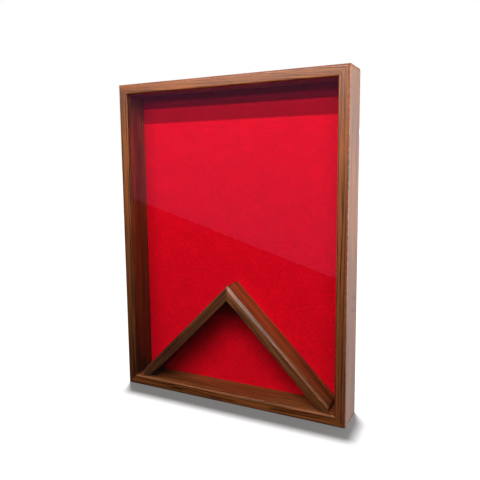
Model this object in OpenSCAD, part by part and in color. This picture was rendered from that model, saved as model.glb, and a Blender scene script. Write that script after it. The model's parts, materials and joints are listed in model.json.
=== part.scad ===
// Folded flag display case: a portrait shadow box of mitred walnut rails with a captive pane,
// a felt lined back that lifts out behind turn buttons, and an inverted V divider whose pocket
// takes a folded flag. Millimetres. The origin is the centre of the underside. +X is the
// viewer's right, the front faces -Y and +Z is up.

/* [Case] */
// Overall width of the frame
case_w = 457; // [400:1:560]
// Overall height of the frame
case_h = 610; // [560:1:760]
// Depth of the rails, front to back
case_d = 70; // [62:1:90]

/* [Rails] */
// Thickness of the rail stock, which is the width of the front face
stock = 19; // [18:0.5:22]
// Radius on the outer front arris
outer_round = 4; // [2:0.5:5]
// Radius on the inner front arris
inner_round = 3; // [1:0.5:3.5]
// Wall left outside the rear rabbet
rear_wall = 12.5; // [12:0.5:14]
// Depth of the rear rabbet
rabbet_d = 12.5; // [12:0.5:16]

/* [Glazing] */
// Thickness of the wood in front of the pane
lip_d = 5; // [4:0.5:7]
// Width of the groove that holds the pane
groove_w = 3.2; // [3:0.1:4]
// Depth of the groove
groove_d = 5; // [4:0.5:6]
// Thickness of the pane
pane_t = 2.5; // [2:0.1:2.8]

/* [Divider] */
// Thickness of the two divider boards
board_t = 19; // [15:0.5:20]
// How far the apex sits below a V drawn from corner to corner
apex_drop = 2; // [0:0.5:6]
// Gap between each foot's plumb cut and the side wall
foot_gap = 13; // [8:0.5:16]
// Width of the chamfer along the upper front arris of each board
board_chamfer = 4.5; // [2:0.5:6]

/* [Back] */
// Thickness of the felt
felt_t = 1.5; // [1:0.1:2]
// Thickness of the board that takes pins
pin_board_t = 4.7; // [3:0.1:5]
// Thickness of the plywood panel
panel_t = 5.7; // [4:0.1:5.7]
// Clearance all round the lift-out back
back_clear = 0.5; // [0.4:0.1:1]

/* [Turn buttons] */
// Distance from pivot to tip radius centre
button_l = 26; // [20:1:32]
// Plate thickness
button_t = 1.6; // [1.2:0.1:2]
// Height of the lower pair, as a share of the case height
button_low = 0.25; // [0.15:0.01:0.35]
// Height of the upper pair, as a share of the case height
button_high = 0.62; // [0.5:0.01:0.68]

/* [Hangers] */
// Height of the ring hinges below the top of the case
hanger_drop = 100; // [80:1:120]
// Wire radius of the ring
ring_wire_r = 1.25; // [1:0.05:1.3]
// Length of each straight leg of the ring
ring_leg = 7; // [6:0.5:9]

/* [Bumpers] */
// Radius of each rubber bumper
bumper_r = 5; // [4:0.5:5.5]
// Height of each rubber bumper
bumper_h = 4.5; // [4.2:0.1:6]

/* [Hidden] */
$fn = 64;

walnut = "#6b4226";
beech = "#d8b98a";
plywood = "#c9a878";
felt_red = "#c8102e";
steel = "#b9bcc0";

// Overshoot of cutting bodies past the faces that they cut
over = 1;
// Running clearance between a pin and its bore
run_fit = 0.06;
// Gap between a moving piece and its neighbour
free_gap = 0.3;

front_y = -case_d / 2;
rear_y = case_d / 2;
half_w = case_w / 2;
// Groove play: the pane is centred in the groove
pane_play = (groove_w - pane_t) / 2;
pane_edge_gap = 0.5;
pane_y = front_y + lip_d + pane_play;
// The rabbet's shoulder is the plane that the lift-out back closes on
shoulder_y = rear_y - rabbet_d;
felt_y = shoulder_y + free_gap;

// Divider: the boards lean at 45 degrees, so a plumb cut through one is board_t * sqrt(2) high
plumb_t = board_t * sqrt(2);
apex_z = half_w - apex_drop;
foot_x = half_w - stock - foot_gap;
board_front_y = front_y + lip_d + groove_w + 0.4;
board_back_y = shoulder_y - 0.2;
board_depth = board_back_y - board_front_y;
// Where each underside meets the bottom rail
under_foot_x = apex_z - plumb_t - stock;

// Dowels across the apex mitre, low enough to stay inside both boards
dowel_r = 3;
dowel_l = 20;
dowel_z = apex_z - 17.5;
dowel_inset = 13;

// Biscuits across the corner mitres: a lens of two arcs
biscuit_l = 44;
biscuit_w = 14;
biscuit_t = 3.8;
biscuit_y = front_y + 33;
biscuit_arc = (biscuit_l * biscuit_l / 4 + biscuit_w * biscuit_w / 4) / biscuit_w;

// Screws
small_shank_r = 1.5;
pan_head_r = 3.2;
pan_head_h = 1.6;
button_screw_l = 16;
hanger_screw_l = 13;
foot_screw_l = 31;
foot_shank_r = 1.75;
foot_head_r = 3.6;
foot_screw_x = foot_x - 6.5;
foot_screw_inset = 14;
screw_point = 3;
recess_l = 3.6;
recess_w = 0.8;
recess_d = 0.9;

// Turn buttons: a large round end at the pivot and a small one at the tip
button_pivot_r = 5.5;
button_tip_r = 3.6;
button_y = rear_y + free_gap;
pivot_in = rear_wall / 2;
end_pivot_x = -button_l / 2;

// Hangers: a strap with a curl round the ring's bar
strap_w = 9;
strap_t = 1;
curl_wall = 1;
curl_w = 6.8;
ring_half_w = 4.95;
curl_bore_r = ring_wire_r + run_fit;
ring_y = rear_y + 2.7;
ring_z = case_h - hanger_drop;
strap_l = 33;
strap_screws_z = [-17, -27];

// One corner of a rail worn to a radius, cut from the corner at the origin
module arris_cut(r) {
  difference() {
    translate([-over, -over]) square(r + over);
    translate([r, r]) circle(r);
  }
}

// Section of a rail: x runs inwards from the outer face, y runs back from the front face
module rail_section() {
  difference() {
    square([stock, case_d]);
    arris_cut(outer_round);
    translate([stock, 0]) mirror([1, 0]) arris_cut(inner_round);
    translate([stock - groove_d, lip_d]) square([groove_d + over, groove_w]);
    translate([rear_wall, case_d - rabbet_d]) square([stock, rabbet_d + over]);
  }
}

// A prism that keeps one rail's share of the frame, seen from the front as x, z points
module mitre_keep(points) {
  rotate([90, 0, 0]) linear_extrude(height = case_d + 2 * over, center = true) polygon(points);
}

module biscuit(gap) {
  rotate([0, 45, 0]) linear_extrude(height = biscuit_t + 2 * gap, center = true)
    intersection() {
      translate([biscuit_arc - biscuit_w / 2, 0]) circle(biscuit_arc + gap, $fn = 128);
      translate([biscuit_w / 2 - biscuit_arc, 0]) circle(biscuit_arc + gap, $fn = 128);
    }
}

// Repeats a child, placed for the lower left corner, at all four corners
module at_corners() {
  for (side = [0, 1]) {
    for (end = [0, 1]) {
      translate([0, 0, case_h / 2])
        flip_z(end) flip_x(side) translate([-half_w, 0, -case_h / 2]) children();
    }
  }
}

module flip_x(on) {
  if (on == 1) mirror([1, 0, 0]) children();
  else children();
}

module flip_z(on) {
  if (on == 1) mirror([0, 0, 1]) children();
  else children();
}

module biscuits(gap) {
  at_corners() translate([stock / 2, biscuit_y, stock / 2]) biscuit(gap);
}

// A screw with its head's top at the origin and its point down -Z
module cross_recess() {
  for (turn = [0, 90])
    rotate([0, 0, turn])
      translate([-recess_l / 2, -recess_w / 2, -recess_d]) cube([recess_l, recess_w, recess_d + over]);
}

module pan_screw(length) {
  difference() {
    rotate_extrude() polygon([
      [0, 0], [pan_head_r * 0.7, 0], [pan_head_r, -pan_head_h * 0.5], [pan_head_r, -pan_head_h],
      [small_shank_r, -pan_head_h], [small_shank_r, screw_point - length], [0, -length]
    ]);
    cross_recess();
  }
}

module flat_screw(length) {
  difference() {
    rotate_extrude() polygon([
      [0, 0], [foot_head_r, 0], [foot_shank_r, foot_shank_r - foot_head_r],
      [foot_shank_r, screw_point - length], [0, -length]
    ]);
    cross_recess();
  }
}

// Pilot hole for a screw whose head's underside sits on the rear face
module rear_pilot(depth) {
  rotate([90, 0, 0]) translate([0, 0, -over]) cylinder(r = small_shank_r + run_fit, h = depth + over);
}

// Turn button places: pivot x, pivot z and the angle at which the tip rests, swung clear
side_pivot_x = half_w - pivot_in;
button_left_upper = [-side_pivot_x, case_h * button_high, -90];
button_left_lower = [-side_pivot_x, case_h * button_low, -90];
button_right_upper = [side_pivot_x, case_h * button_high, -90];
button_right_lower = [side_pivot_x, case_h * button_low, -90];
button_top = [end_pivot_x, case_h - pivot_in, 0];
button_bottom = [end_pivot_x, pivot_in, 0];
buttons = [
  button_left_upper, button_left_lower, button_right_upper,
  button_right_lower, button_top, button_bottom
];

module button_pilots() {
  for (b = buttons)
    translate([b[0], rear_y, b[1]]) rear_pilot(button_screw_l - button_t - pan_head_h);
}

module hanger_pilots() {
  for (side = [-1, 1])
    for (dz = strap_screws_z)
      translate([side * side_pivot_x, rear_y, ring_z + dz]) rear_pilot(hanger_screw_l - strap_t - pan_head_h + 0.3);
}

// Places of the screws that come up through the bottom rail into the feet
module at_foot_screws() {
  for (side = [-1, 1])
    for (y = [board_front_y + foot_screw_inset, board_back_y - foot_screw_inset])
      translate([side * foot_screw_x, y, 0.3]) rotate([180, 0, 0]) children();
}

module foot_screw_bores() {
  at_foot_screws() {
    translate([0, 0, -foot_screw_l]) cylinder(r = foot_shank_r + run_fit, h = foot_screw_l + over);
    rotate_extrude() polygon([
      [0, over], [foot_head_r + 0.1, over], [foot_head_r + 0.1, 0],
      [foot_shank_r, foot_shank_r - foot_head_r - 0.1], [0, foot_shank_r - foot_head_r - 0.1]
    ]);
  }
}

module side_rail_blank() {
  intersection() {
    translate([-half_w, front_y, 0]) linear_extrude(height = case_h) rail_section();
    mitre_keep([
      [-half_w - over, -over], [-half_w + stock + over, stock + over],
      [-half_w + stock + over, case_h - stock - over], [-half_w - over, case_h + over]
    ]);
  }
}

module rail_left() {
  color(walnut) difference() {
    side_rail_blank();
    biscuits(0.1);
    button_pilots();
    hanger_pilots();
  }
}

module rail_right() {
  color(walnut) difference() {
    mirror([1, 0, 0]) side_rail_blank();
    biscuits(0.1);
    button_pilots();
    hanger_pilots();
  }
}

module end_rail_blank() {
  intersection() {
    translate([0, front_y, 0])
      rotate([0, -90, 0]) linear_extrude(height = case_w, center = true) rail_section();
    mitre_keep([
      [-half_w - over, -over], [half_w + over, -over],
      [half_w - stock - over, stock + over], [-half_w + stock + over, stock + over]
    ]);
  }
}

module rail_bottom() {
  color(walnut) difference() {
    end_rail_blank();
    biscuits(0.1);
    button_pilots();
    foot_screw_bores();
  }
}

module rail_top() {
  color(walnut) difference() {
    translate([0, 0, case_h]) mirror([0, 0, 1]) end_rail_blank();
    biscuits(0.1);
    button_pilots();
  }
}

module corner_biscuits() {
  color(beech) biscuits(0);
}

// The pane stands on the floor of the bottom groove
module glazing_pane() {
  seat = stock - groove_d;
  edge = seat + pane_edge_gap;
  color("lightcyan", 0.4)
    translate([edge - half_w, pane_y, seat]) cube([case_w - 2 * edge, pane_t, case_h - seat - edge]);
}

// Section of a divider board: x runs out from the underside, y runs back from the front edge
module board_section() {
  difference() {
    square([board_t, board_depth]);
    polygon([
      [board_t - board_chamfer - over, -over], [board_t + over, -over],
      [board_t + over, board_chamfer + over]
    ]);
  }
}

// The right board: planed stock laid at 45 degrees, cut plumb at the apex and at the foot
module board_blank() {
  run_out = board_t * 2;
  intersection() {
    translate([under_foot_x + run_out, board_front_y, stock - run_out])
      rotate([0, -45, 0]) linear_extrude(height = (under_foot_x + 2 * run_out) * sqrt(2)) board_section();
    translate([0, front_y, stock]) cube([foot_x, case_d, apex_z]);
  }
}

module dowels(gap) {
  for (y = [board_front_y + dowel_inset, board_back_y - dowel_inset])
    translate([0, y, dowel_z])
      rotate([0, 90, 0]) cylinder(r = dowel_r + gap, h = dowel_l + 4 * gap, center = true);
}

module divider_right() {
  color(walnut) difference() {
    board_blank();
    dowels(0.05);
    foot_screw_bores();
  }
}

module divider_left() {
  color(walnut) difference() {
    mirror([1, 0, 0]) board_blank();
    dowels(0.05);
    foot_screw_bores();
  }
}

module divider_dowels() {
  color(beech) dowels(0);
}

module divider_screws() {
  color(steel) at_foot_screws() flat_screw(foot_screw_l);
}

// One layer of the lift-out back, all of one outline
module back_layer(y, thickness) {
  edge = rear_wall + back_clear;
  translate([edge - half_w, y, edge]) cube([case_w - 2 * edge, thickness, case_h - 2 * edge]);
}

module felt_lining() {
  color(felt_red) back_layer(felt_y, felt_t);
}

module pin_board() {
  color("tan") back_layer(felt_y + felt_t, pin_board_t);
}

module back_panel() {
  color(plywood) back_layer(felt_y + felt_t + pin_board_t, panel_t);
}

// Two round ends joined by their outer tangents, with the pivot at the origin
module button_outline() {
  lean = acos((button_pivot_r - button_tip_r) / button_l);
  circle(button_pivot_r);
  translate([button_l, 0]) circle(button_tip_r);
  polygon([
    button_pivot_r * [cos(lean), sin(lean)],
    button_pivot_r * [cos(lean), -sin(lean)],
    [button_l, 0] + button_tip_r * [cos(lean), -sin(lean)],
    [button_l, 0] + button_tip_r * [cos(lean), sin(lean)]
  ]);
}

module turn_button(place) {
  color(steel)
    translate([place[0], button_y + button_t, place[1]])
      rotate([90, 0, 0]) rotate([0, 0, place[2]])
        difference() {
          linear_extrude(height = button_t) button_outline();
          translate([0, 0, -over]) cylinder(r = small_shank_r + run_fit, h = button_t + 2 * over);
        }
}

module turn_button_screws() {
  head_top_y = button_y + button_t + free_gap + pan_head_h;
  color(steel) for (b = buttons)
    translate([b[0], head_top_y, b[1]]) rotate([-90, 0, 0]) pan_screw(button_screw_l);
}

// A strap on the rear of a side rail, with its curl at the top
module hanger_strap(side) {
  color(steel) translate([side * side_pivot_x, 0, ring_z]) difference() {
    union() {
      translate([-strap_w / 2, rear_y, strap_w / 2 - strap_l]) cube([strap_w, strap_t, strap_l - strap_w]);
      translate([0, rear_y + strap_t, strap_w / 2 - strap_l])
        rotate([90, 0, 0]) cylinder(d = strap_w, h = strap_t);
      translate([-curl_w / 2, rear_y, -strap_w / 2 - over]) cube([curl_w, strap_t, strap_w / 2 + over]);
      translate([0, ring_y, 0])
        rotate([0, 90, 0]) cylinder(r = curl_bore_r + curl_wall, h = curl_w, center = true);
    }
    translate([0, ring_y, 0]) rotate([0, 90, 0]) cylinder(r = curl_bore_r, h = strap_w, center = true);
    for (dz = strap_screws_z)
      translate([0, rear_y + strap_t + over, dz])
        rotate([90, 0, 0]) cylinder(r = small_shank_r + run_fit, h = strap_t + 2 * over);
  }
}

// A ring of round wire, hanging over its strap
module hanger_ring(side) {
  color(steel) translate([side * side_pivot_x, ring_y, ring_z]) {
    rotate([0, 90, 0]) cylinder(r = ring_wire_r, h = 2 * ring_half_w, center = true);
    for (leg = [-1, 1]) translate([leg * ring_half_w, 0, 0]) {
      sphere(ring_wire_r);
      translate([0, 0, -ring_leg]) cylinder(r = ring_wire_r, h = ring_leg);
    }
    translate([0, 0, -ring_leg])
      rotate([-90, 0, 0]) rotate_extrude(angle = 180) translate([ring_half_w, 0]) circle(ring_wire_r);
  }
}

module hanger_screws() {
  color(steel) for (side = [-1, 1])
    for (dz = strap_screws_z)
      translate([side * side_pivot_x, rear_y + strap_t + pan_head_h, ring_z + dz])
        rotate([-90, 0, 0]) pan_screw(hanger_screw_l);
}

module wall_bumpers() {
  bevel = 1.2;
  color("dimgray") at_corners()
    translate([pivot_in + 0.75, rear_y, pivot_in + 0.75])
      rotate([-90, 0, 0]) rotate_extrude() polygon([
        [0, 0], [bumper_r, 0], [bumper_r, bumper_h - bevel], [bumper_r - bevel, bumper_h], [0, bumper_h]
      ]);
}

rail_left();
rail_right();
rail_top();
rail_bottom();
corner_biscuits();
glazing_pane();
divider_left();
divider_right();
divider_dowels();
divider_screws();
felt_lining();
pin_board();
back_panel();
turn_button(button_left_upper);  // turn_button_left_upper
turn_button(button_left_lower);  // turn_button_left_lower
turn_button(button_right_upper);  // turn_button_right_upper
turn_button(button_right_lower);  // turn_button_right_lower
turn_button(button_top);  // turn_button_top
turn_button(button_bottom);  // turn_button_bottom
turn_button_screws();
hanger_strap(-1);  // hanger_strap_left
hanger_strap(1);  // hanger_strap_right
hanger_ring(-1);  // hanger_ring_left
hanger_ring(1);  // hanger_ring_right
hanger_screws();
wall_bumpers();
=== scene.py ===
"""Folded flag display case: a walnut shadow box with a red felt back and an inverted V divider.

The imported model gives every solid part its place. This add-on gives those parts their finish and makes
the pieces whose real surface is finer than the solid: the pane, the felt and the two back boards.
"""

import json
import math

import bmesh
import bpy
from bpy.props import FloatProperty, FloatVectorProperty, IntProperty, PointerProperty
from bpy.types import Operator, Panel, PropertyGroup
from mathutils import Euler, Matrix, Vector, noise

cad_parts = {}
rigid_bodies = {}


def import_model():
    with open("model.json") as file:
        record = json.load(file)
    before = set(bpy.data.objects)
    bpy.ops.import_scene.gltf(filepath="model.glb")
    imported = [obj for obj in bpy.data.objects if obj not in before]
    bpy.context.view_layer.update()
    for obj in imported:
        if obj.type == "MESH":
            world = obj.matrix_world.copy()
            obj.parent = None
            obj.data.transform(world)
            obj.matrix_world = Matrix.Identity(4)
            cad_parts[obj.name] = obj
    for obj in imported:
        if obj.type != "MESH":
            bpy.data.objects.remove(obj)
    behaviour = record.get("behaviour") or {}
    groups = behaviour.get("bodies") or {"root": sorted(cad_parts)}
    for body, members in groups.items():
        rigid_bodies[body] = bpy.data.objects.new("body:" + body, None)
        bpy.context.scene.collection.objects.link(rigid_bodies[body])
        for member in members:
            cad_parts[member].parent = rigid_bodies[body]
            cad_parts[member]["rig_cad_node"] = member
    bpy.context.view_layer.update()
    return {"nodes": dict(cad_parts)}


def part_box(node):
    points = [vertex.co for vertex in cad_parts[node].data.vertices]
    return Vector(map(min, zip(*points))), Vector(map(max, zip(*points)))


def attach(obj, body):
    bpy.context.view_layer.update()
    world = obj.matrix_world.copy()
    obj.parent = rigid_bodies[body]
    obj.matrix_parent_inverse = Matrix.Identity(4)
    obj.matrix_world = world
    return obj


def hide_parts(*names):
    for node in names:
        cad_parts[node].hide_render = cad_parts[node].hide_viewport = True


bl_info = {
    "name": "Folded flag display case",
    "version": (1, 0, 0),
    "blender": (4, 5, 0),
    "location": "View3D > Sidebar > Flag case",
    "description": "Walnut shadow box with a felt back and a divider for a folded flag",
    "category": "Add Mesh",
}

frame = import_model()

MM = 0.001
MIDDLE = (0.5, 0.5, 0.5)
RAIL_LOW, RAIL_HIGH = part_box("rail_left")
FRONT_Y = RAIL_LOW.y
HALF_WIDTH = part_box("rail_right")[1].x
HEIGHT = RAIL_HIGH.z
STOCK = RAIL_HIGH.x - RAIL_LOW.x

# A board's grain runs along X until it is turned.
LEVEL = (0.0, 0.0, 0.0)
UPRIGHT = (0.0, math.radians(90), 0.0)
TIPPED = (0.0, math.radians(-3), 0.0)

# Painted shade on the walnut's outer edges, a painted highlight on the opening's edges, and how far in the
# rubbed edges reach.
EDGE_SHADE = (0.80, 0.63, 0.43)
EDGE_HIGHLIGHT = (1.30, 1.22, 1.15)
OUTER_REACH = 7.0 * MM
INNER_REACH = 3.5 * MM
DIVIDER_REACH = 4.5 * MM

# The two pin knots on the right side: their heights and their place from front to back, the slant of
# their fading tails, the size of the dark core and of the whole mark, and how dark they are.
KNOT_HEIGHTS = (0.2180, 0.1955)
KNOT_DEPTH = 0.018
KNOT_SLANT = (0.0, 2.2, 9.0)
KNOT_CORE = 8.0 * MM
KNOT_FADE = 32.0 * MM
KNOT_DARK = 0.72

WARM = (1.0, 0.95, 0.90)
WARM_STRIP = (1.0, 0.965, 0.93)
WHITE = (1.0, 1.0, 1.0)


# ------------------------------------------------------------------ sizes and colours


def length(name, description, default, low=0.0, high=1.0):
    """A size in metres, shown in the scene's units."""
    return FloatProperty(
        name=name,
        description=description,
        default=default,
        min=low,
        max=high,
        subtype="DISTANCE",
        unit="LENGTH",
    )


def share(name, description, default, high=1.0):
    """A plain number from nothing up to high."""
    return FloatProperty(name=name, description=description, default=default, min=0.0, max=high)


def colour(name, description, default):
    """A colour swatch."""
    return FloatVectorProperty(
        name=name, description=description, default=default, size=3, min=0.0, max=1.0, subtype="COLOR"
    )


class FlagCaseSizes(PropertyGroup):
    """Sizes of the made pieces"""

    pane_seam: length("Pane seam", "Width of the ground bevel round the pane", 0.35 * MM)
    pane_corner: length("Pane corner", "Radius on the pane's four corners", 1.0 * MM)
    felt_step: length("Felt grid", "Spacing of the felt's points", 3.0 * MM, 1 * MM)
    felt_relief: length("Felt relief", "How far the wool stands up and down", 0.13 * MM)
    felt_tuft: length("Felt tuft", "Size of one soft lump in the felt", 7.0 * MM, 1 * MM)
    board_ease: length("Board ease", "Sanded edge on the back boards", 0.4 * MM)
    board_corner: length("Board corner", "Radius on the back boards' corners", 1.5 * MM)
    plies: IntProperty(name="Plies", description="Layers in the plywood", default=5, min=3, max=9)


class FlagCaseFinish(PropertyGroup):
    """Colours and finishes"""

    walnut_light: colour("Walnut, light", "Early wood", (0.224, 0.0675, 0.0165))
    walnut_dark: colour("Walnut, dark", "Late wood", (0.056, 0.0148, 0.0038))
    walnut_streak: colour("Walnut, streak", "Mineral streaks", (0.022, 0.0052, 0.0018))
    ring_width: share("Ring width", "Width of one year's growth in millimetres", 6.2, 16.0)
    lacquer: share("Lacquer", "Weight of the satin lacquer", 0.90)
    beech: colour("Beech", "Biscuits and dowels", (0.560, 0.375, 0.205))
    felt: colour("Felt", "Red wool felt", (0.690, 0.0009, 0.0115))
    ply: colour("Plywood", "Face veneer of the back panel", (0.520, 0.350, 0.190))
    fibre: colour("Pin board", "Soft fibreboard", (0.300, 0.205, 0.125))
    nickel: colour("Nickel", "Plated buttons, straps and rings", (0.640, 0.610, 0.560))
    zinc: colour("Zinc", "Plated screws", (0.560, 0.570, 0.580))
    rubber: colour("Rubber", "Wall bumpers", (0.018, 0.018, 0.019))


class FlagCaseStudio(PropertyGroup):
    """Floor, lights and camera"""

    strip_low: share("Low strip", "Power of the lowest strip light", 2.2, 400.0)
    strip_middle: share("Middle strip", "Power of the middle strip light", 8.6, 400.0)
    strip_high: share("High strip", "Power of the highest strip light", 30.0, 400.0)
    side: share("Right softbox", "Power of the softbox on the right", 60.0, 400.0)
    far_side: share("Left softbox", "Power of the softbox on the left", 20.0, 400.0)
    overhead: share("Overhead", "Strength of the light over the floor", 11.0, 50.0)
    room_front: share("Room, front", "Brightness of the room before the case", 0.010, 4.0)
    room_back: share("Room, back", "Brightness of the room behind the case", 0.58, 4.0)
    card: colour("Card", "Tone of the card mirrored in the pane", (0.46, 0.12, 0.33))
    floor: colour("Floor", "Pale floor", (0.250, 0.250, 0.250))
    floor_glow: share("Floor glow", "Light the floor gives back in its shadows", 0.17)


def settings():
    """The scene's sizes, finish and studio."""
    scene = bpy.context.scene
    return scene.flag_case_sizes, scene.flag_case_finish, scene.flag_case_studio


# ------------------------------------------------------------------ small node helpers


def add(tree, kind, **values):
    """One node, with its settings."""
    made = tree.nodes.new(kind)
    for key, value in values.items():
        setattr(made, key, value)
    return made


def feed(tree, socket, value):
    """Joins a socket to an input, or sets the input's own value."""
    if isinstance(value, bpy.types.NodeSocket):
        tree.links.new(value, socket)
    elif isinstance(value, (tuple, list)) and len(value) == 3 and socket.type == "RGBA":
        socket.default_value = (*value, 1.0)
    else:
        socket.default_value = value


def maths(tree, operation, *values, clamp=False):
    """One sum on numbers."""
    made = add(tree, "ShaderNodeMath", operation=operation, use_clamp=clamp)
    for socket, value in zip(made.inputs, values):
        feed(tree, socket, value)
    return made.outputs[0]


def vector(tree, operation, *values):
    """One sum on places or colours. SCALE takes a vector and a number."""
    made = add(tree, "ShaderNodeVectorMath", operation=operation)
    places = [made.inputs[0], made.inputs["Scale"]] if operation == "SCALE" else made.inputs
    for socket, value in zip(places, values):
        feed(tree, socket, value)
    return made.outputs["Value" if operation in ("LENGTH", "DOT_PRODUCT") else "Vector"]


def cloud(tree, place, stretch, detail=2.0, roughness=0.5, colours=False):
    """Soft noise. stretch is how many lumps there are per unit along each axis."""
    made = add(tree, "ShaderNodeTexNoise", noise_dimensions="3D")
    feed(tree, made.inputs["Vector"], vector(tree, "MULTIPLY", place, stretch))
    feed(tree, made.inputs["Scale"], 1.0)
    feed(tree, made.inputs["Detail"], detail)
    feed(tree, made.inputs["Roughness"], roughness)
    return made.outputs["Color" if colours else "Fac"]


def ramp(tree, value, *stops):
    """A smooth curve through (place, height) stops."""
    made = add(tree, "ShaderNodeValToRGB")
    made.color_ramp.interpolation = "EASE"
    points = made.color_ramp.elements
    while len(points) < len(stops):
        points.new(0.5)
    for point, (place, height) in zip(points, stops):
        point.position = place
        point.color = (height, height, height, 1.0)
    feed(tree, made.inputs["Fac"], value)
    return made.outputs["Color"]


def between(tree, value, low, high, to_low=0.0, to_high=1.0):
    """Maps low..high smoothly onto to_low..to_high."""
    made = add(tree, "ShaderNodeMapRange", interpolation_type="SMOOTHSTEP")
    feed(tree, made.inputs["Value"], value)
    for name, number in (("From Min", low), ("From Max", high), ("To Min", to_low), ("To Max", to_high)):
        feed(tree, made.inputs[name], number)
    return made.outputs["Result"]


def mix(tree, amount, first, second, blend="MIX"):
    """Blends two colours."""
    made = add(tree, "ShaderNodeMix", data_type="RGBA", blend_type=blend)
    feed(tree, made.inputs["Factor"], amount)
    feed(tree, made.inputs[6], first)
    feed(tree, made.inputs[7], second)
    return made.outputs[2]


def choose(tree, share_of_second, first, second):
    """Two shaders joined by how much there is of the second."""
    made = add(tree, "ShaderNodeMixShader")
    for socket, value in zip(made.inputs, (share_of_second, first, second)):
        feed(tree, socket, value)
    return made.outputs[0]


def new_group(name, inputs, outputs):
    """A shader node group with named sockets, and its inner input and output nodes."""
    tree = bpy.data.node_groups.new(name, "ShaderNodeTree")
    kinds = {"v": "NodeSocketVector", "c": "NodeSocketColor", "f": "NodeSocketFloat"}
    for direction, sockets in (("INPUT", inputs), ("OUTPUT", outputs)):
        for label, kind in sockets:
            tree.interface.new_socket(name=label, in_out=direction, socket_type=kinds[kind])
    return tree, add(tree, "NodeGroupInput").outputs, add(tree, "NodeGroupOutput").inputs


def use_group(tree, name, **values):
    """Places a shared group in a material with its own values, and makes the group the first time."""
    group = bpy.data.node_groups.get(name) or GROUPS[name](name)
    made = add(tree, "ShaderNodeGroup", node_tree=group)
    for key, value in values.items():
        feed(tree, made.inputs[key.replace("_", " ")], value)
    return made.outputs


# ------------------------------------------------------------------ effects shared by several materials


def wood_figure(name):
    """Growth rings, fibre, mineral streaks and pores of a board whose grain runs along X. Sizes are in
    millimetres, and the three numbers of each cloud are lumps per millimetre along and across the grain."""
    tree, given, gives = new_group(
        name,
        [
            ("Vector", "v"),
            *((label, "c") for label in ("Early", "Late", "Streak")),
            *((label, "f") for label in ("Ring Width", "Wander", "Streaks", "Pores")),
            *((label, "f") for label in ("Tone", "Bands", "Lines")),
        ],
        [("Color", "c"), ("Height", "f"), ("Gloss", "f")],
    )
    place = vector(tree, "SCALE", given["Vector"], 1 / MM)
    drift = cloud(tree, place, (0.0035, 0.016, 0.016), colours=True)
    drift = vector(tree, "SUBTRACT", drift, MIDDLE)
    drift = vector(tree, "MULTIPLY", drift, (0.0, 1.0, 1.0))
    bent = vector(tree, "ADD", place, vector(tree, "SCALE", drift, given["Wander"]))
    from_pith = vector(tree, "LENGTH", vector(tree, "MULTIPLY", bent, (0.0, 1.0, 1.0)))
    uneven = maths(tree, "MULTIPLY", cloud(tree, place, (0.002, 0.07, 0.07)), 1.6)
    years = maths(tree, "ADD", maths(tree, "DIVIDE", from_pith, given["Ring Width"]), uneven)
    growth = ramp(tree, maths(tree, "FRACT", years), (0.0, 0.05), (0.40, 0.22), (0.84, 1.0), (1.0, 0.05))
    year = add(tree, "ShaderNodeTexWhiteNoise", noise_dimensions="1D")
    feed(tree, year.inputs["W"], maths(tree, "FLOOR", years))
    strong = between(tree, year.outputs["Value"], 0.0, 1.0, 0.30, 1.0)
    band = between(tree, cloud(tree, bent, (0.0045, 0.20, 0.20)), 0.42, 0.60, -0.5, 0.5)
    line = between(tree, cloud(tree, bent, (0.0060, 0.42, 0.42)), 0.45, 0.57, -0.5, 0.5)
    fibre = cloud(tree, bent, (0.014, 0.78, 0.78), 4.0, 0.66)
    fine = cloud(tree, place, (0.05, 2.6, 2.6), 3.0, 0.6)
    dark = maths(tree, "MULTIPLY", growth, strong)
    for layer, weight in ((band, given["Bands"]), (line, given["Lines"])):
        dark = maths(tree, "ADD", dark, maths(tree, "MULTIPLY", layer, weight))
    for layer, weight in ((fibre, 3.6), (fine, 0.6)):
        dark = maths(tree, "ADD", dark, maths(tree, "MULTIPLY", maths(tree, "SUBTRACT", layer, 0.5), weight))
    dark = maths(tree, "ADD", dark, 0.0, clamp=True)
    body = mix(tree, dark, given["Early"], given["Late"])
    streak = between(tree, cloud(tree, bent, (0.0032, 0.17, 0.17), 2.0, 0.55), 0.53, 0.68)
    body = mix(tree, maths(tree, "MULTIPLY", streak, given["Streaks"]), body, given["Streak"])
    patch = between(tree, cloud(tree, place, (0.006, 0.02, 0.02), 1.0), 0.25, 0.75, 0.86, 1.14)
    # Tone scales the colour; the walnut boards feed painted shade into it.
    body = vector(tree, "SCALE", body, maths(tree, "MULTIPLY", patch, given["Tone"]))
    pore = between(tree, cloud(tree, bent, (0.075, 2.9, 2.9), 1.0, 0.4), 0.63, 0.71)
    pore = maths(tree, "MULTIPLY", pore, given["Pores"])
    feed(tree, gives["Color"], mix(tree, maths(tree, "MULTIPLY", pore, 0.62), body, given["Streak"]))
    height = maths(tree, "SUBTRACT", maths(tree, "MULTIPLY", fibre, 0.35), pore)
    feed(tree, gives["Height"], height)
    feed(tree, gives["Gloss"], maths(tree, "ADD", maths(tree, "MULTIPLY", fine, 0.5), pore, clamp=True))
    return tree


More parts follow.
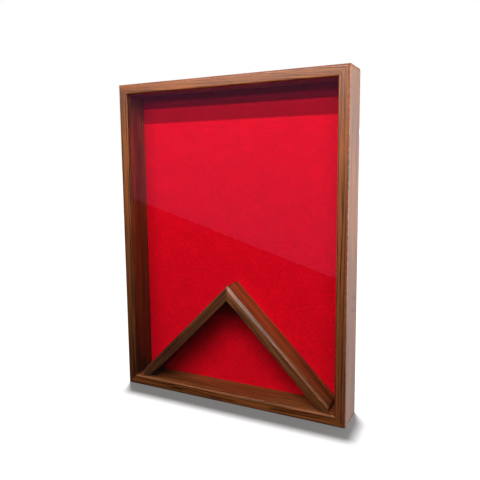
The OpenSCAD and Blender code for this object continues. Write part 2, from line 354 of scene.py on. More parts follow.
def arris_wear_and_light(name):
    """Where the edges of a box, or of the opening in a frame, are rubbed and carry painted edge light: 1 on
    the edge, 0 further off.
    """
    tree, given, gives = new_group(
        name,
        [("Vector", "v"), ("Centre", "v"), ("Half", "v"), ("Reach", "f")],
        [("Worn", "f")],
    )
    local = vector(tree, "ABSOLUTE", vector(tree, "SUBTRACT", given["Vector"], given["Centre"]))
    inset = add(tree, "ShaderNodeSeparateXYZ")
    feed(tree, inset.inputs[0], vector(tree, "SUBTRACT", given["Half"], local))
    x, y, z = inset.outputs
    outline = maths(tree, "ABSOLUTE", maths(tree, "MINIMUM", x, z))
    rim = maths(tree, "MAXIMUM", maths(tree, "ABSOLUTE", y), outline)
    corner = maths(tree, "MAXIMUM", maths(tree, "ABSOLUTE", x), maths(tree, "ABSOLUTE", z))
    near = maths(tree, "DIVIDE", maths(tree, "MINIMUM", rim, corner), given["Reach"])
    patchy = cloud(tree, given["Vector"], (160.0, 160.0, 160.0), 3.0, 0.6)
    edge_wear_and_light = maths(tree, "ADD", near, maths(tree, "MULTIPLY", patchy, 0.9))
    feed(tree, gives["Worn"], between(tree, edge_wear_and_light, 0.45, 1.2, 1.0, 0.0))
    return tree


def handling(name):
    """Fine scratches, smears and dust on metal and rubber."""
    tree, given, gives = new_group(
        name,
        [("Vector", "v"), ("Brushing", "v"), ("Base", "f"), ("Spread", "f")],
        [("Rough", "f"), ("Height", "f"), ("Dirt", "f")],
    )
    brushed = cloud(tree, given["Vector"], given["Brushing"], 3.0)
    smear = cloud(tree, given["Vector"], (220.0, 220.0, 220.0), 3.0, 0.6)
    uneven = maths(tree, "SUBTRACT", maths(tree, "ADD", brushed, smear), 1.0)
    rough = maths(tree, "ADD", given["Base"], maths(tree, "MULTIPLY", uneven, given["Spread"]), clamp=True)
    feed(tree, gives["Rough"], rough)
    feed(tree, gives["Height"], brushed)
    dirt = cloud(tree, given["Vector"], (420.0, 420.0, 420.0), 4.0)
    feed(tree, gives["Dirt"], between(tree, dirt, 0.52, 0.72))
    return tree


GROUPS = {"Wood figure": wood_figure, "Arris wear and edge light": arris_wear_and_light, "Handling": handling}


# ------------------------------------------------------------------ materials


def new_material(name):
    """A material, its nodes, its shader's inputs and the place on the piece."""
    made = bpy.data.materials.new(name)
    made.use_nodes = True
    tree = made.node_tree
    shader = tree.nodes["Principled BSDF"]
    where = add(tree, "ShaderNodeTexCoord").outputs["Object"]
    return made, tree, shader.inputs, where


def turned(tree, where, turn, shift):
    """Turns a board so that its grain runs along X, and carries it to its own place in the log."""
    made = add(tree, "ShaderNodeMapping", vector_type="POINT")
    made.inputs["Rotation"].default_value = turn
    made.inputs["Location"].default_value = shift
    feed(tree, made.inputs["Vector"], where)
    return made.outputs["Vector"]


def bump(tree, shader, height, depth, strength):
    """Fine relief, of a depth in metres."""
    made = add(tree, "ShaderNodeBump")
    made.inputs["Strength"].default_value = strength
    made.inputs["Distance"].default_value = depth
    feed(tree, made.inputs["Height"], height)
    feed(tree, shader["Normal"], made.outputs["Normal"])


def walnut(node, centre, edges, turn, shift, painted_shade, gloss, streaks, bands, lines, ring, wander, knots=()):
    """Oiled and lacquered walnut for one board, laid on its part. edges are the boxes whose edges are rubbed
    and carry painted light: half size, reach and the tint that paints shade on outer edges and a highlight
    on the opening's edges. The depths of colour at the low and the high end paint shade, darker towards the
    low end; gloss is the share of lacquer at the low and the high end, and knots are the places of small
    dark pin knots."""
    finish = settings()[1]
    made, tree, shader, where = new_material("walnut_" + node)
    rise = add(tree, "ShaderNodeSeparateXYZ")
    feed(tree, rise.inputs[0], where)
    rise = rise.outputs["Z"]
    half_height = edges[0][0][2]
    ends = (centre[2] - half_height, centre[2] + half_height)
    figure = use_group(
        tree,
        "Wood figure",
        Vector=turned(tree, where, turn, shift),
        Early=tuple(finish.walnut_light),
        Late=tuple(finish.walnut_dark),
        Streak=tuple(finish.walnut_streak),
        Ring_Width=finish.ring_width * ring,
        Wander=wander,
        Streaks=streaks,
        Pores=1.0,
        # Painted shade: the colour is scaled by height, from the low-end to the high-end depth.
        Tone=between(tree, rise, *ends, *painted_shade),
        Bands=bands,
        Lines=lines,
    )
    worn = 0.0
    body = figure["Color"]
    # Painted light on the edges: the outer edges' tint paints shade, the opening's tint paints a highlight.
    for half, reach, tint in edges:
        edge = use_group(tree, "Arris wear and edge light", Vector=where, Centre=centre, Half=half, Reach=reach)["Worn"]
        edge_wear_and_light = mix(tree, 1.0, body, tint, "MULTIPLY")
        body = mix(tree, maths(tree, "MULTIPLY", edge, 0.9), body, edge_wear_and_light)
        worn = maths(tree, "MAXIMUM", worn, edge)
    for knot in knots:
        offset = vector(tree, "SUBTRACT", where, knot)
        across = maths(tree, "ABSOLUTE", vector(tree, "DOT_PRODUCT", offset, KNOT_SLANT))
        along = vector(tree, "LENGTH", vector(tree, "MULTIPLY", offset, (1.0, 1.0, 0.0)))
        far = maths(tree, "MAXIMUM", across, along)
        dark = between(tree, far, KNOT_CORE, KNOT_FADE, KNOT_DARK, 0.0)
        body = mix(tree, dark, body, tuple(finish.walnut_streak))
    feed(tree, shader["Base Color"], body)
    rough = between(tree, figure["Gloss"], 0.0, 1.0, 0.34, 0.54)
    feed(tree, shader["Roughness"], maths(tree, "ADD", rough, maths(tree, "MULTIPLY", worn, 0.38)))
    unworn = maths(tree, "SUBTRACT", 1.0, worn)
    coat = maths(tree, "MULTIPLY", unworn, between(tree, rise, *ends, *gloss))
    feed(tree, shader["Coat Weight"], maths(tree, "MULTIPLY", coat, finish.lacquer))
    shader["Coat Roughness"].default_value = 0.36
    shader["IOR"].default_value = 1.48
    shader["Specular IOR Level"].default_value = 0.30
    bump(tree, shader, figure["Height"], 0.06 * MM, 0.55)
    coat_nodes(made, node)


def beech(name, turn, shift):
    """Bare beech, close grained."""
    finish = settings()[1]
    made, tree, shader, where = new_material(name)
    figure = use_group(
        tree,
        "Wood figure",
        Vector=turned(tree, where, turn, shift),
        Early=tuple(finish.beech),
        Late=tuple(c * 0.72 for c in finish.beech),
        Streak=tuple(c * 0.42 for c in finish.beech),
        Ring_Width=1.6,
        Wander=3.0,
        Streaks=0.15,
        Pores=0.7,
        Tone=1.0,
        Bands=0.4,
        Lines=0.5,
    )
    feed(tree, shader["Base Color"], figure["Color"])
    feed(tree, shader["Roughness"], between(tree, figure["Gloss"], 0.0, 1.0, 0.58, 0.8))
    bump(tree, shader, figure["Height"], 0.04 * MM, 0.5)
    return made


def red_felt(name):
    """Pressed wool felt: tangled fibres with a soft nap."""
    finish = settings()[1]
    made, tree, shader, where = new_material(name)
    place = vector(tree, "SCALE", where, 1 / MM)
    swirl = cloud(tree, place, (0.25, 0.25, 0.25), 2.0, 0.6, colours=True)
    swirl = vector(tree, "SUBTRACT", swirl, MIDDLE)
    wound = vector(tree, "ADD", place, vector(tree, "SCALE", swirl, 5.0))
    lying = cloud(tree, wound, (0.55, 1.2, 2.2), 3.0, 0.62)
    crossing = cloud(tree, wound, (2.3, 1.2, 0.75), 3.0, 0.62)
    hair = cloud(tree, wound, (4.5, 3.0, 7.5), 2.0, 0.7)
    wool = maths(tree, "ADD", maths(tree, "MULTIPLY", lying, 0.6), maths(tree, "MULTIPLY", crossing, 0.4))
    wool = maths(tree, "ADD", wool, maths(tree, "MULTIPLY", maths(tree, "SUBTRACT", hair, 0.5), 0.35))
    tuft = cloud(tree, wound, (0.12, 1.0, 0.34), 3.0, 0.6)
    cloudy = cloud(tree, place, (0.030, 0.030, 0.040))
    depth = maths(tree, "ADD", maths(tree, "MULTIPLY", wool, 0.32), maths(tree, "MULTIPLY", tuft, 0.60))
    depth = maths(tree, "ADD", depth, maths(tree, "MULTIPLY", cloudy, 0.12))
    light = between(tree, depth, 0.38, 0.70, 0.80, 1.18)
    feed(tree, shader["Base Color"], vector(tree, "SCALE", tuple(finish.felt), light))
    feed(tree, shader["Roughness"], between(tree, wool, 0.3, 0.7, 0.86, 1.0))
    shader["Specular IOR Level"].default_value = 0.03
    shader["Sheen Weight"].default_value = 0.015
    shader["Sheen Roughness"].default_value = 0.45
    shader["Sheen Tint"].default_value = (1.0, 0.12, 0.20, 1.0)
    height = maths(tree, "ADD", wool, maths(tree, "MULTIPLY", hair, 0.4))
    bump(tree, shader, height, 0.14 * MM, 0.35)
    return made


def pane_glass(name, centre, half):
    """Clear float glass with ground edges and a few specks of dust."""
    made, tree, shader, where = new_material(name)
    local = vector(tree, "ABSOLUTE", vector(tree, "SUBTRACT", where, centre))
    inset = add(tree, "ShaderNodeSeparateXYZ")
    feed(tree, inset.inputs[0], vector(tree, "SUBTRACT", half, local))
    edge = maths(tree, "MINIMUM", inset.outputs["X"], inset.outputs["Z"])
    ground = between(tree, edge, 0.2 * MM, 0.6 * MM, 1.0, 0.0)
    grind = cloud(tree, where, (2400.0, 2400.0, 2400.0), 2.0)
    speck = between(tree, cloud(tree, where, (900.0, 900.0, 900.0), 2.0), 0.74, 0.80)
    tint = mix(tree, ground, WHITE, (0.70, 0.86, 0.80))
    feed(tree, shader["Base Color"], tint)
    rough = maths(tree, "MULTIPLY", ground, maths(tree, "MULTIPLY", grind, 0.9))
    feed(tree, shader["Roughness"], maths(tree, "ADD", rough, maths(tree, "MULTIPLY", speck, 0.05)))
    shader["Transmission Weight"].default_value = 1.0
    shader["IOR"].default_value = 1.50
    path = add(tree, "ShaderNodeLightPath")
    clear = add(tree, "ShaderNodeBsdfTransparent")
    clear.inputs["Color"].default_value = (0.96, 0.975, 0.97, 1.0)
    clear = clear.outputs[0]
    glass = tree.nodes["Principled BSDF"].outputs[0]
    bounced = choose(tree, path.outputs["Is Diffuse Ray"], glass, clear)
    surface = choose(tree, path.outputs["Is Shadow Ray"], bounced, clear)
    feed(tree, tree.nodes["Material Output"].inputs["Surface"], surface)
    return made


def fibreboard(name):
    """Soft tan fibreboard with loose flecks."""
    finish = settings()[1]
    made, tree, shader, where = new_material(name)
    place = vector(tree, "SCALE", where, 1 / MM)
    coarse = cloud(tree, place, (0.35, 1.6, 0.35), 4.0, 0.7)
    fleck = cloud(tree, place, (0.9, 2.4, 1.3), 3.0, 0.75)
    tone = maths(tree, "ADD", maths(tree, "MULTIPLY", coarse, 0.5), maths(tree, "MULTIPLY", fleck, 0.5))
    base = vector(tree, "SCALE", tuple(finish.fibre), between(tree, tone, 0.3, 0.7, 0.62, 1.38))
    pale = between(tree, fleck, 0.64, 0.70, 0.0, 0.7)
    feed(tree, shader["Base Color"], mix(tree, pale, base, (0.48, 0.38, 0.26)))
    feed(tree, shader["Roughness"], between(tree, coarse, 0.3, 0.7, 0.82, 0.98))
    bump(tree, shader, tone, 0.25 * MM, 0.7)
    return made


def plywood(name, low_y, high_y, plies, centre, half):
    """Plywood: veneers laid crosswise, which show as bands on the cut edges."""
    finish = settings()[1]
    made, tree, shader, where = new_material(name)
    looks = []
    for turn, shift, tone in ((UPRIGHT, (0.4, 0.11, 0.02), 1.0), (LEVEL, (0.1, 0.09, -0.5), 0.78)):
        looks.append(
            use_group(
                tree,
                "Wood figure",
                Vector=turned(tree, where, turn, shift),
                Early=tuple(c * tone for c in finish.ply),
                Late=tuple(c * tone * 0.72 for c in finish.ply),
                Streak=tuple(c * tone * 0.45 for c in finish.ply),
                Ring_Width=7.0,
                Wander=26.0,
                Streaks=0.22,
                Pores=0.55,
                Tone=1.0,
                Bands=0.5,
                Lines=0.5,
            )
        )
    depth = add(tree, "ShaderNodeSeparateXYZ")
    feed(tree, depth.inputs[0], where)
    from_front = maths(tree, "SUBTRACT", depth.outputs["Y"], low_y)
    layer = maths(tree, "MULTIPLY", from_front, plies / (high_y - low_y))
    inner = maths(tree, "MINIMUM", maths(tree, "MAXIMUM", layer, 0.0), plies - 0.01)
    cross = maths(tree, "MODULO", maths(tree, "FLOOR", inner), 2.0)
    glue = between(tree, maths(tree, "PINGPONG", layer, 0.5), 0.0, 0.07, 0.5, 0.0)
    glue = maths(tree, "MULTIPLY", glue, between(tree, layer, 0.3, 0.5))
    glue = maths(tree, "MULTIPLY", glue, between(tree, layer, plies - 0.5, plies - 0.3, 1.0, 0.0))
    base = mix(tree, cross, looks[0]["Color"], looks[1]["Color"])
    base = mix(tree, glue, base, (0.10, 0.05, 0.025))
    worn = use_group(tree, "Arris wear and edge light", Vector=where, Centre=centre, Half=half, Reach=2.5 * MM)["Worn"]
    feed(tree, shader["Base Color"], mix(tree, maths(tree, "MULTIPLY", worn, 0.4), base, (0.42, 0.30, 0.18)))
    feed(tree, shader["Roughness"], between(tree, looks[0]["Gloss"], 0.0, 1.0, 0.62, 0.85))
    height = mix(tree, cross, looks[0]["Height"], looks[1]["Height"])
    bump(tree, shader, height, 0.08 * MM, 0.6)
    return made


def plated(name, tone, brushing, base, spread, dull=0.25):
    """Plated metal, lightly brushed and handled."""
    made, tree, shader, where = new_material(name)
    marks = use_group(tree, "Handling", Vector=where, Brushing=brushing, Base=base, Spread=spread)
    grubby = maths(tree, "MULTIPLY", marks["Dirt"], dull)
    feed(tree, shader["Base Color"], mix(tree, grubby, tone, tuple(c * 0.45 for c in tone)))
    shader["Metallic"].default_value = 1.0
    feed(tree, shader["Roughness"], maths(tree, "ADD", marks["Rough"], maths(tree, "MULTIPLY", grubby, 0.4)))
    bump(tree, shader, marks["Height"], 0.02 * MM, 0.35)
    return made


def black_rubber(name):
    """Moulded rubber with a dusty bloom."""
    finish = settings()[1]
    made, tree, shader, where = new_material(name)
    mottle = (1500.0, 1500.0, 1500.0)
    marks = use_group(tree, "Handling", Vector=where, Brushing=mottle, Base=0.72, Spread=0.25)
    bloom = maths(tree, "MULTIPLY", marks["Dirt"], 0.35)
    feed(tree, shader["Base Color"], mix(tree, bloom, tuple(finish.rubber), (0.10, 0.098, 0.092)))
    feed(tree, shader["Roughness"], marks["Rough"])
    bump(tree, shader, marks["Height"], 0.05 * MM, 0.4)
    return made


def pale_floor(name):
    """Plain pale paper, a little uneven."""
    studio = settings()[2]
    made, tree, shader, where = new_material(name)
    soft = cloud(tree, where, (1.3, 1.3, 1.3), 3.0)
    base = vector(tree, "SCALE", tuple(studio.floor), between(tree, soft, 0.2, 0.8, 0.985, 1.015))
    feed(tree, shader["Base Color"], base)
    shader["Roughness"].default_value = 0.9
    shader["Specular IOR Level"].default_value = 0.0
    shader["Emission Color"].default_value = (1.0, 1.0, 1.0, 1.0)
    shader["Emission Strength"].default_value = studio.floor_glow
    return made


# ------------------------------------------------------------------ mesh helpers


def object_from(name, mesh_builder):
    """A new object from a bmesh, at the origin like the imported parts."""
    mesh = bpy.data.meshes.new(name)
    mesh_builder.normal_update()
    mesh_builder.to_mesh(mesh)
    mesh_builder.free()
    made = bpy.data.objects.new(name, mesh)
    bpy.context.scene.collection.objects.link(made)
    return made


def dress(piece, material):
    """Gives every slot of a part this material."""
    mesh = piece.data
    if not mesh.materials:
        mesh.materials.append(material)
    for slot in piece.material_slots:
        slot.link = "OBJECT" if "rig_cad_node" in piece else "DATA"
        slot.material = material


def rounded_outline(low, high, radius, steps=5):
    """Corner points of a rounded rectangle in x and z, going round once."""
    corners = [(high.x, high.z, 0), (low.x, high.z, 90), (low.x, low.z, 180), (high.x, low.z, 270)]
    points = []
    for x, z, start in corners:
        cx = x - math.copysign(radius, x - (low.x + high.x) / 2)
        cz = z - math.copysign(radius, z - (low.z + high.z) / 2)
        for step in range(steps + 1):
            angle = math.radians(start + 90 * step / steps)
            points.append((cx + radius * math.cos(angle), cz + radius * math.sin(angle)))
    return points


def flat_board(name, low, high, corner, ease):
    """A flat board or pane standing in the XZ plane, with rounded corners and eased edges."""
    made = bmesh.new()
    rings = []
    for y, inset in ((low.y, ease), (low.y + ease, 0.0), (high.y - ease, 0.0), (high.y, ease)):
        shrink = Vector((inset, 0, inset))
        outline = rounded_outline(low + shrink, high - shrink, max(corner - inset, corner * 0.4))
        rings.append([made.verts.new((x, y, z)) for x, z in outline])
    for front, back in zip(rings, rings[1:]):
        for k, vert in enumerate(front):
            after = (k + 1) % len(front)
            made.faces.new((vert, front[after], back[after], back[k]))
    made.faces.new(list(reversed(rings[0])))
    made.faces.new(rings[-1])
    bmesh.ops.recalc_face_normals(made, faces=made.faces)
    return object_from(name, made)


def felt_blanket(name, low, high, step, relief, tuft):
    """A sheet of felt whose front is softly lumpy and whose cut edges are slightly rounded."""
    columns = max(8, round((high.x - low.x) / step))
    rows = max(8, round((high.z - low.z) / step))
    made = bmesh.new()
    thickness = high.y - low.y
    turn_in = 0.8 * MM
    sheets = []
    for face_y, side in ((low.y, -1), (high.y, 1)):
        grid = []
        for j in range(rows + 1):
            line = []
            for i in range(columns + 1):
                x = low.x + (high.x - low.x) * i / columns
                z = low.z + (high.z - low.z) * j / rows
                rim = min(x - low.x, high.x - x, z - low.z, high.z - z)
                lump = noise.noise(Vector((x, side, z)) / tuft) * 0.65
                lump += noise.noise(Vector((x, side * 3, z)) / (tuft * 0.37)) * 0.35
                give = relief if side < 0 else relief * 0.15
                round_off = max(0.0, 1 - rim / turn_in) ** 2 * thickness * 0.3
                y = face_y - side * (give * (0.5 + lump * 0.5) + round_off)
                line.append(made.verts.new((x, y, z)))
            grid.append(line)
        sheets.append(grid)
    for grid, flip in zip(sheets, (False, True)):
        for j in range(rows):
            for i in range(columns):
                loop = [grid[j][i], grid[j][i + 1], grid[j + 1][i + 1], grid[j + 1][i]]
                made.faces.new(list(reversed(loop)) if flip else loop)
    front, back = sheets
    rim_front = [*front[0], *[row[-1] for row in front[1:]], *reversed(front[-1][:-1])]
    rim_front += [row[0] for row in reversed(front[1:-1])]
    rim_back = [*back[0], *[row[-1] for row in back[1:]], *reversed(back[-1][:-1])]
    rim_back += [row[0] for row in reversed(back[1:-1])]
    for k, vert in enumerate(rim_front):
        after = (k + 1) % len(rim_front)
        made.faces.new((rim_front[after], vert, rim_back[k], rim_back[after]))
    bmesh.ops.recalc_face_normals(made, faces=made.faces)
    for face in made.faces:
        face.smooth = True
    return object_from(name, made)


def coat_nodes(material, *nodes):
    """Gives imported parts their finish."""
    for node in nodes:
        dress(frame["nodes"][node], material)


def place_of(node):
    """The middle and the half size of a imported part."""
    low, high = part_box(node)
    return tuple((low + high) / 2), tuple((high - low) / 2)


# ------------------------------------------------------------------ stage

LENS = 38.955
SHIFT = (0.0233, -0.0300)
CAMERA_PLACE = (0.4336, -0.8733, 0.4565)
YAW, PITCH, ROLL = (math.radians(a) for a in (26.759, 6.931, -0.72))
INNER_ROUND = 3.0 * MM
STRIP_SIZE = (1.9, 0.03)
STRIP_REACH = 1.0
STRIP_X = 0.05
SOFTBOX_SIZE = (1.1, 1.4)
SOFTBOX_PLACE = Vector((1.75, 0.66, 0.34))
OVERHEAD_WIDTH = math.radians(2.6)
OVERHEAD_LEAN = (math.radians(-3.8), math.radians(-2.1), 0.0)
BRIGHT_WAY = (0.42, 0.90, 0.12)
FLOOR_SIZE = 24.0
CARD_Y = -1.6
CARD_CORNERS = ((-1.43, 0.268), (-0.225, -0.100), (1.20, -0.536), (1.20, 2.4), (-2.6, 2.4), (-2.6, 0.626))


def aim(thing, target):
    """Turns a light to face a place."""
    thing.rotation_euler = (Vector(target) - thing.location).to_track_quat("-Z", "Y").to_euler()


def add_camera():
    """The viewing angle: from the front right, slightly above the middle."""
    data = bpy.data.cameras.new("case_camera")
    data.sensor_width = 36.0
    data.lens = LENS
    data.shift_x, data.shift_y = SHIFT
    camera = bpy.data.objects.new("case_camera", data)
    bpy.context.scene.collection.objects.link(camera)
    level = math.cos(PITCH)
    look = Vector((-math.sin(YAW) * level, math.cos(YAW) * level, -math.sin(PITCH)))
    right = Vector((math.cos(YAW), math.sin(YAW), 0.0))
    up = right.cross(look)
    tipped_right = right * math.cos(ROLL) + up * math.sin(ROLL)
    tipped_up = up * math.cos(ROLL) - right * math.sin(ROLL)
    turn = Matrix((tipped_right, tipped_up, -look)).transposed()
    camera.matrix_world = Matrix.Translation(CAMERA_PLACE) @ turn.to_4x4()
    data.clip_start = 0.02
    data.clip_end = 60.0
    bpy.context.scene.camera = camera


def add_area(name, size, power, tone, place, target):
    """A rectangular soft light that falls on everything but the floor."""
    data = bpy.data.lights.new(name, "AREA")
    data.shape = "RECTANGLE"
    data.size, data.size_y = size
    data.energy = power
    data.color = tone
    light = bpy.data.objects.new(name, data)
    light.location = place
    bpy.context.scene.collection.objects.link(light)
    aim(light, target)
    light.light_linking.receiver_collection = bpy.data.collections["off_the_floor"]


def add_strip(name, elevation, power):
    """A long narrow light whose edge of shadow under the top rail falls at a set height."""
    rise = STRIP_REACH * math.tan(math.radians(elevation))
    place = (STRIP_X, FRONT_Y + INNER_ROUND - STRIP_REACH, HEIGHT - STOCK + rise)
    add_area(name, STRIP_SIZE, power, WARM_STRIP, place, (STRIP_X, 0.0, 0.40))


def add_softbox(name, side, power):
    """A large soft light beside the case and a little behind it, for one outer side only."""
    place = (side * SOFTBOX_PLACE.x, SOFTBOX_PLACE.y, SOFTBOX_PLACE.z)
    add_area(name, SOFTBOX_SIZE, power, WARM, place, (side * HALF_WIDTH, 0.0, 0.25))


def add_overhead(power, floor):
    """A high light that draws the case's shadow on the floor, and falls on nothing else."""
    data = bpy.data.lights.new("overhead", "SUN")
    data.energy = power
    data.angle = OVERHEAD_WIDTH
    lamp = bpy.data.objects.new("overhead", data)
    lamp.rotation_euler = Euler(OVERHEAD_LEAN)
    bpy.context.scene.collection.objects.link(lamp)
    only_floor = bpy.data.collections.new("only_the_floor")
    only_floor.objects.link(floor)
    lamp.light_linking.receiver_collection = only_floor


def add_world(studio):
    """White to the eye; to the case, a dim room in front and a bright one behind."""
    world = bpy.data.worlds.new("case_room")
    bpy.context.scene.world = world
    world.use_nodes = True
    tree = world.node_tree
    room = tree.nodes["Background"]
    outward = add(tree, "ShaderNodeTexCoord").outputs["Generated"]
    facing = vector(tree, "DOT_PRODUCT", outward, BRIGHT_WAY)
    light = between(tree, facing, -0.10, 0.45, studio.room_front, studio.room_back)
    feed(tree, room.inputs["Strength"], light)
    feed(tree, room.inputs["Color"], WHITE)
    plain = add(tree, "ShaderNodeBackground")
    feed(tree, plain.inputs["Strength"], 1.0)
    feed(tree, plain.inputs["Color"], WHITE)
    eye = add(tree, "ShaderNodeLightPath").outputs["Is Camera Ray"]
    seen = choose(tree, eye, room.outputs[0], plain.outputs[0])
    feed(tree, tree.nodes["World Output"].inputs["Surface"], seen)


def add_card(studio):
    """A large card front left whose lower edge slants across the pane's reflection."""
    made = bmesh.new()
    made.faces.new([made.verts.new((x, CARD_Y, z)) for x, z in CARD_CORNERS])
    card = object_from("studio_card", made)
    glow = bpy.data.materials.new("studio_card")
    glow.use_nodes = True
    shader = glow.node_tree.nodes["Principled BSDF"].inputs
    shader["Base Color"].default_value = (0.0, 0.0, 0.0, 1.0)
    shader["Emission Color"].default_value = (*studio.card, 1.0)
    shader["Emission Strength"].default_value = 1.0
    dress(card, glow)
    card.visible_camera = False
    card.visible_diffuse = False
    card.visible_shadow = False
    card.visible_transmission = False
    card.light_linking.receiver_collection = bpy.data.collections.new("only_the_pane")


def add_floor():
    """The pale floor, and the list of lights' receivers that leaves it out."""
    made = bmesh.new()
    bmesh.ops.create_grid(made, x_segments=8, y_segments=8, size=FLOOR_SIZE)
    floor = object_from("studio_floor", made)
    dress(floor, pale_floor("studio_floor"))
    floor.visible_diffuse = False
    floor.visible_glossy = False
    floor.visible_transmission = False
    beyond = bpy.data.collections.new("off_the_floor")
    beyond.objects.link(floor)
    beyond.collection_objects[0].light_linking.link_state = "EXCLUDE"
    return floor


class FLAGCASE_OT_stage(Operator):
    """Lay the pale floor, hang the lights and set up the camera"""

    bl_idname = "flag_case.stage"
    bl_label = "Stage"

    def execute(self, context):
        studio = settings()[2]
        context.scene.view_settings.view_transform = "Standard"
        floor = add_floor()
        add_camera()
        add_world(studio)
        add_card(studio)
        add_strip("strip_low", 12.0, studio.strip_low)
        add_strip("strip_middle", 24.5, studio.strip_middle)
        add_strip("strip_high", 44.0, studio.strip_high)
        add_softbox("right_softbox", 1, studio.side)
        add_softbox("left_softbox", -1, studio.far_side)
        add_overhead(studio.overhead, floor)
        return {"FINISHED"}


# ------------------------------------------------------------------ the case

# How each board was cut and finished: the turn and shift that carry it to its place in the log, its depth of
# colour and gloss from the low end to the high end, where the depth of colour is painted shade that darkens
# the frame towards the bottom, its share of mineral streaks, the strength of its broad bands and fine lines,
# and the width and wander of its rings.
RAILS = {
    "rail_left": {
        "turn": UPRIGHT,
        "shift": (1.30, 0.060, 0.170),
        "painted_shade": (0.38, 1.12),
        "gloss": (0.10, 1.0),
        "streaks": 0.30,
        "bands": 0.5,
        "lines": 1.5,
        "ring": 1.0,
        "wander": 6.0,
    },
    "rail_right": {
        "turn": UPRIGHT,
        "shift": (3.10, 0.045, 0.105),
        "painted_shade": (0.73, 1.33),
        "gloss": (0.66, 1.0),
        "streaks": 0.20,
        "bands": 0.5,
        "lines": 1.2,
        "ring": 0.9,
        "wander": 5.0,
        "knots": tuple((HALF_WIDTH, KNOT_DEPTH, z) for z in KNOT_HEIGHTS),
    },
    "rail_top": {
        "turn": TIPPED,
        "shift": (6.10, 0.050, -0.500),
        "painted_shade": (1.30, 1.30),
        "gloss": (0.90, 0.90),
        "streaks": 0.05,
        "bands": 0.2,
        "lines": 0.9,
        "ring": 0.4,
        "wander": 5.0,
    },
    "rail_bottom": {
        "turn": LEVEL,
        "shift": (6.60, 0.025, 0.075),
        "painted_shade": (0.80, 0.80),
        "gloss": (0.20, 0.20),
        "streaks": 0.70,
        "bands": 1.1,
        "lines": 1.7,
        "ring": 1.4,
        "wander": 14.0,
    },
}

DIVIDER_GRAIN = {"bands": 1.4, "lines": 2.3, "ring": 1.4, "wander": 7.0}
# The two divider boards, set like the rails: painted shade darkens the left board more than the right, and
# both towards their low end.
DIVIDER = {
    "divider_left": {
        "turn": (0.0, math.radians(45), 0.0),
        "shift": (9.40, 0.070, -0.050),
        "painted_shade": (0.32, 0.50),
        "gloss": (0.10, 0.35),
        "streaks": 0.50,
    },
    "divider_right": {
        "turn": (0.0, math.radians(-45), 0.0),
        "shift": (11.90, 0.055, 0.000),
        "painted_shade": (0.74, 1.20),
        "gloss": (0.0, 0.95),
        "streaks": 0.65,
    },
}


class FLAGCASE_OT_rails(Operator):
    """Finish the four mitred walnut rails"""

    bl_idname = "flag_case.rails"
    bl_label = "Rails"

    def execute(self, context):
        centre = (0.0, 0.0, HEIGHT / 2)
        outside = (HALF_WIDTH, -FRONT_Y, HEIGHT / 2)
        opening = (HALF_WIDTH - STOCK, -FRONT_Y, HEIGHT / 2 - STOCK)
        # Painted shade on the outer edges, a painted highlight on the edges of the opening.
        edges = ((outside, OUTER_REACH, EDGE_SHADE), (opening, INNER_REACH, EDGE_HIGHLIGHT))
        for node, look in RAILS.items():
            walnut(node, centre, edges, **look)
        return {"FINISHED"}


class FLAGCASE_OT_divider(Operator):
    """Finish the two walnut boards that lean together over the flag's pocket"""

    bl_idname = "flag_case.divider"
    bl_label = "Divider"

    def execute(self, context):
        for node, look in DIVIDER.items():
            centre, half = place_of(node)
            # The boards' edges get painted shade.
            walnut(node, centre, ((half, DIVIDER_REACH, EDGE_SHADE),), **look, **DIVIDER_GRAIN)
        return {"FINISHED"}


class FLAGCASE_OT_joinery(Operator):
    """Finish the biscuits, dowels and screws inside the joints"""

    bl_idname = "flag_case.joinery"
    bl_label = "Joinery"

    def execute(self, context):
        finish = settings()[1]
        slant = (0.0, math.radians(45), 0.0)
        coat_nodes(beech("beech_biscuit", slant, (0.2, 0.04, 0.03)), "corner_biscuits")
        coat_nodes(beech("beech_dowel", LEVEL, (0.6, 0.02, -0.23)), "divider_dowels")
        screw = plated("zinc_foot_screw", tuple(finish.zinc), (500.0, 500.0, 2600.0), 0.34, 0.22)
        coat_nodes(screw, "divider_screws")
        return {"FINISHED"}


class FLAGCASE_OT_pane(Operator):
    """Make the glass pane with its ground edges"""

    bl_idname = "flag_case.pane"
    bl_label = "Pane"

    def execute(self, context):
        sizes = settings()[0]
        low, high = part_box("glazing_pane")
        pane = flat_board("pane_glass", low, high, sizes.pane_corner, sizes.pane_seam)
        dress(pane, pane_glass("pane_glass", *place_of("glazing_pane")))
        bpy.data.collections["only_the_pane"].objects.link(pane)
        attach(pane, "case")
        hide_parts("glazing_pane")
        return {"FINISHED"}


class FLAGCASE_OT_back(Operator):
    """Make the lift-out back: felt, pin board and plywood"""

    bl_idname = "flag_case.back"
    bl_label = "Back"

    def execute(self, context):
        sizes = settings()[0]
        low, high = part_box("pin_board")
        board = flat_board("pin_board_sheet", low, high, sizes.board_corner, sizes.board_ease)
        dress(board, fibreboard("fibreboard"))
        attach(board, "back")
        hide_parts("pin_board")

        low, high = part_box("back_panel")
        panel = flat_board("back_panel_sheet", low, high, sizes.board_corner, sizes.board_ease)
        dress(panel, plywood("plywood", low.y, high.y, sizes.plies, *place_of("back_panel")))
        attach(panel, "back")
        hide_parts("back_panel")

        low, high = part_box("felt_lining")
        felt = felt_blanket("felt_sheet", low, high, sizes.felt_step, sizes.felt_relief, sizes.felt_tuft)
        dress(felt, red_felt("red_felt"))
        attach(felt, "back")
        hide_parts("felt_lining")
        return {"FINISHED"}


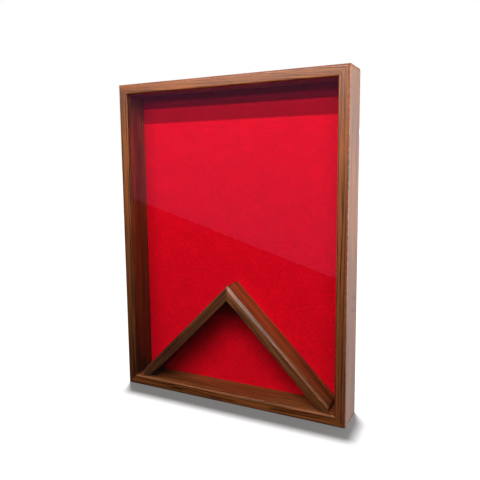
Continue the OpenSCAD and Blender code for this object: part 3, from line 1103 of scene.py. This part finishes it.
class FLAGCASE_OT_hardware(Operator):
    """Finish the turn buttons, hangers, screws and bumpers"""

    bl_idname = "flag_case.hardware"
    bl_label = "Hardware"

    def execute(self, context):
        finish = settings()[1]
        nickel = tuple(finish.nickel)
        sideways = plated("nickel_level", nickel, (120.0, 900.0, 2600.0), 0.26, 0.22)
        upright = plated("nickel_upright", nickel, (2600.0, 900.0, 120.0), 0.26, 0.22)
        wire = plated("nickel_wire", nickel, (700.0, 700.0, 700.0), 0.20, 0.16)
        zinc = plated("zinc_screw", tuple(finish.zinc), (1300.0, 300.0, 1300.0), 0.34, 0.25, 0.4)
        for place in ("left_upper", "left_lower", "right_upper", "right_lower"):
            coat_nodes(upright, "turn_button_" + place)
        for place in ("top", "bottom"):
            coat_nodes(sideways, "turn_button_" + place)
        for side in ("left", "right"):
            coat_nodes(upright, "hanger_strap_" + side)
            coat_nodes(wire, "hanger_ring_" + side)
        coat_nodes(zinc, "turn_button_screws", "hanger_screws")
        coat_nodes(black_rubber("black_rubber"), "wall_bumpers")
        return {"FINISHED"}


# ------------------------------------------------------------------ panel and registration

OPERATORS = (
    FLAGCASE_OT_stage,
    FLAGCASE_OT_rails,
    FLAGCASE_OT_divider,
    FLAGCASE_OT_joinery,
    FLAGCASE_OT_pane,
    FLAGCASE_OT_back,
    FLAGCASE_OT_hardware,
)


class FLAGCASE_PT_panel(Panel):
    """Pieces, sizes and colours of the case"""

    bl_idname = "FLAGCASE_PT_panel"
    bl_label = "Folded flag display case"
    bl_space_type = "VIEW_3D"
    bl_region_type = "UI"
    bl_category = "Flag case"

    def draw(self, context):
        layout = self.layout
        for title, group in zip(("Sizes", "Finish", "Studio"), settings()):
            box = layout.box()
            box.label(text=title)
            for name in group.bl_rna.properties.keys():
                if name not in ("rna_type", "name"):
                    box.prop(group, name)
        for operator in OPERATORS:
            layout.operator(operator.bl_idname)


GROUP_CLASSES = (FlagCaseSizes, FlagCaseFinish, FlagCaseStudio)
SCENE_GROUPS = ("flag_case_sizes", "flag_case_finish", "flag_case_studio")


def register():
    for item in (*GROUP_CLASSES, *OPERATORS, FLAGCASE_PT_panel):
        bpy.utils.register_class(item)
    for name, item in zip(SCENE_GROUPS, GROUP_CLASSES):
        setattr(bpy.types.Scene, name, PointerProperty(type=item))


def unregister():
    for name in SCENE_GROUPS:
        delattr(bpy.types.Scene, name)
    for item in reversed((*GROUP_CLASSES, *OPERATORS, FLAGCASE_PT_panel)):
        bpy.utils.unregister_class(item)


def main():
    register()
    bpy.ops.flag_case.stage()
    bpy.ops.flag_case.rails()
    bpy.ops.flag_case.divider()
    bpy.ops.flag_case.joinery()
    bpy.ops.flag_case.pane()
    bpy.ops.flag_case.back()
    bpy.ops.flag_case.hardware()


if __name__ == "__main__":
    main()
